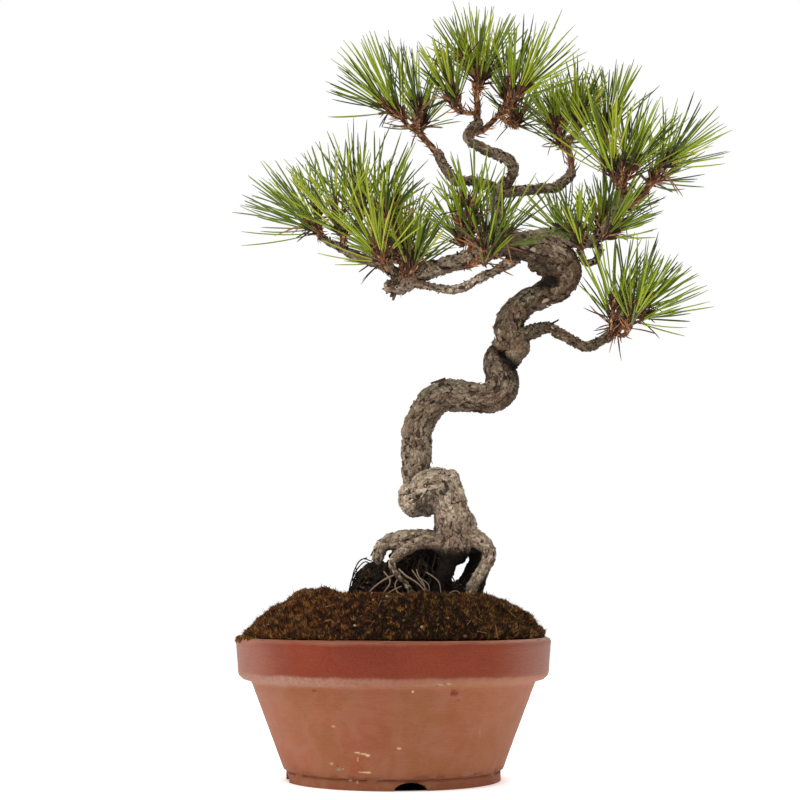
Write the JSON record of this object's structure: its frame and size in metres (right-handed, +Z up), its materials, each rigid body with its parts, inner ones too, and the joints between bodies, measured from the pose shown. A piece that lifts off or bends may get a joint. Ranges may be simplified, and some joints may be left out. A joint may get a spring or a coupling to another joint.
{
  "type": "huangshan pine bonsai in a clay pot",
  "caption": "Potted pine bonsai: twisting trunk on arched roots, thin boughs and tufts of long needles, in a round tapered clay pot filled with mossy soil.",
  "frame": {"origin": "middle of the pot's flat underside, on the surface that the pot stands on", "axes": "+Z up, +X to the right as seen from the front, towards the lowest bough; the front of the tree faces -Y"},
  "size_m": [0.3246, 0.2, 0.5058],
  "materials": {
    "clay": "matte",
    "soil": "matte",
    "bark": "matte",
    "needle": "satin"
  },
  "bodies": {
    "root": {"pot": "clay", "soil_mound": "soil", "trunk": "bark", "bough_left": "bark", "bough_left_tip": "bark", "bough_left_under": "bark", "bough_right": "bark", "bough_top_left": "bark", "bough_top_right": "bark", "bough_lower_right": "bark", "bough_back_left": "bark", "bough_back_centre": "bark", "bough_back_right": "bark", "leader": "bark", "twig_right": "bark", "needles_left_outer": "needle", "needles_left_middle": "needle", "needles_left_inner": "needle", "needles_left_low": "needle", "needles_back_left": "needle", "needles_centre": "needle", "needles_centre_low": "needle", "needles_back_centre": "needle", "needles_top_left": "needle", "needles_apex": "needle", "needles_apex_right": "needle", "needles_right_upper": "needle", "needles_right_crown": "needle", "needles_right_outer": "needle", "needles_right_inner": "needle", "needles_right_low": "needle", "needles_back_right": "needle", "needles_lower_right": "needle"}
  },
  "joints": []
}
